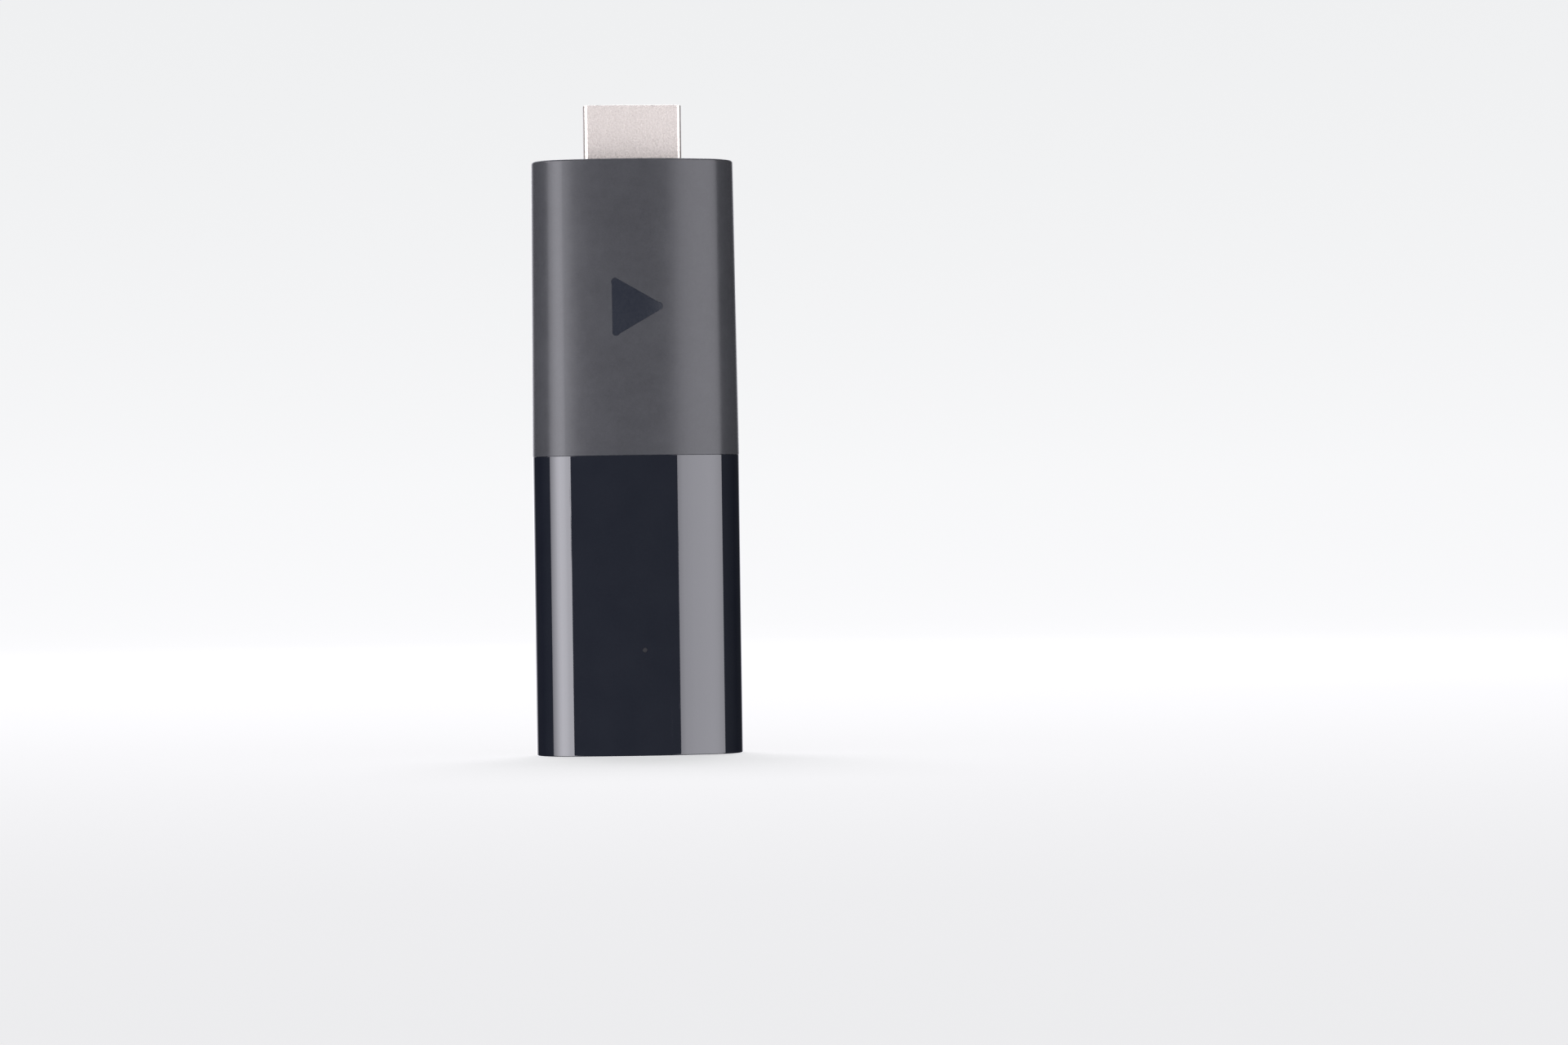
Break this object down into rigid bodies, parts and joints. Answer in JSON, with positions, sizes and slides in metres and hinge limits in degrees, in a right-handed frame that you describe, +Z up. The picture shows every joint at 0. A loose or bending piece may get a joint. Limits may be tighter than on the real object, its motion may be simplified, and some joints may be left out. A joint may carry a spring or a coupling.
{
  "type": "streaming media player",
  "caption": "Slim upright streaming media player stick: matte and glossy casing sleeves, HDMI plug on one end, micro-USB power port in the other.",
  "frame": {"origin": "centre of the lower end face, on which the stick stands", "axes": "+Z up along the stick, towards the HDMI plug; -Y is the front, with the emblem and the light; +X is to the right seen from the front"},
  "size_m": [0.0296, 0.0152, 0.0926],
  "materials": {
    "matte_casing": "fine moulded texture, dark grey, soft sheen",
    "gloss_casing": "piano black, polished",
    "gloss_inlay": "satin to glossy dark inlay",
    "clear_plastic": "clear light pipe, slightly frosted",
    "plug_metal": "nickel plated, fine blasted grain",
    "port_metal": "nickel plated sheet",
    "black_insulator": "moulded glass-filled plastic",
    "gold_contact": "gold plated",
    "board_laminate": "solder mask over glass laminate",
    "chip_resin": "moulded chip resin",
    "shield_metal": "tinned sheet",
    "led_resin": "light diffusing resin",
    "thermal_pad": "soft filled silicone",
    "spreader_metal": "rolled sheet, fine lengthwise grain",
    "foam": "open cell foam",
    "ferrite": "pressed ferrite",
    "capacitor_ceramic": "fired ceramic with tinned ends",
    "resistor_ceramic": "glazed ceramic with tinned ends"
  },
  "bodies": {
    "root": {"upper_shell": "matte_casing", "lower_shell": "gloss_casing", "emblem_inlay": "gloss_inlay", "light_pipe": "clear_plastic", "hdmi_plug_shell": "plug_metal", "hdmi_insulator": "black_insulator", "hdmi_front_contacts": "gold_contact", "hdmi_back_contacts": "gold_contact", "usb_port_shell": "port_metal", "usb_tongue": "black_insulator", "usb_contacts": "gold_contact", "main_board": "board_laminate", "processor": "chip_resin", "memory_chips": "chip_resin", "flash_chip": "chip_resin", "power_chips": "chip_resin", "radio_board": "board_laminate", "radio_cover": "shield_metal", "antenna": "shield_metal", "status_led": "led_resin", "front_shield_frame": "shield_metal", "front_shield_lid": "shield_metal", "back_shield_frame": "shield_metal", "back_shield_lid": "shield_metal", "processor_pad": "thermal_pad", "front_thermal_pad": "thermal_pad", "back_thermal_pad": "thermal_pad", "front_heat_spreader": "spreader_metal", "back_heat_spreader": "spreader_metal", "foam_pads": "foam", "power_inductors": "ferrite", "ferrite_beads": "ferrite", "capacitors": "capacitor_ceramic", "resistors": "resistor_ceramic", "crystals": "shield_metal", "surge_arrays": "chip_resin"}
  },
  "joints": []
}
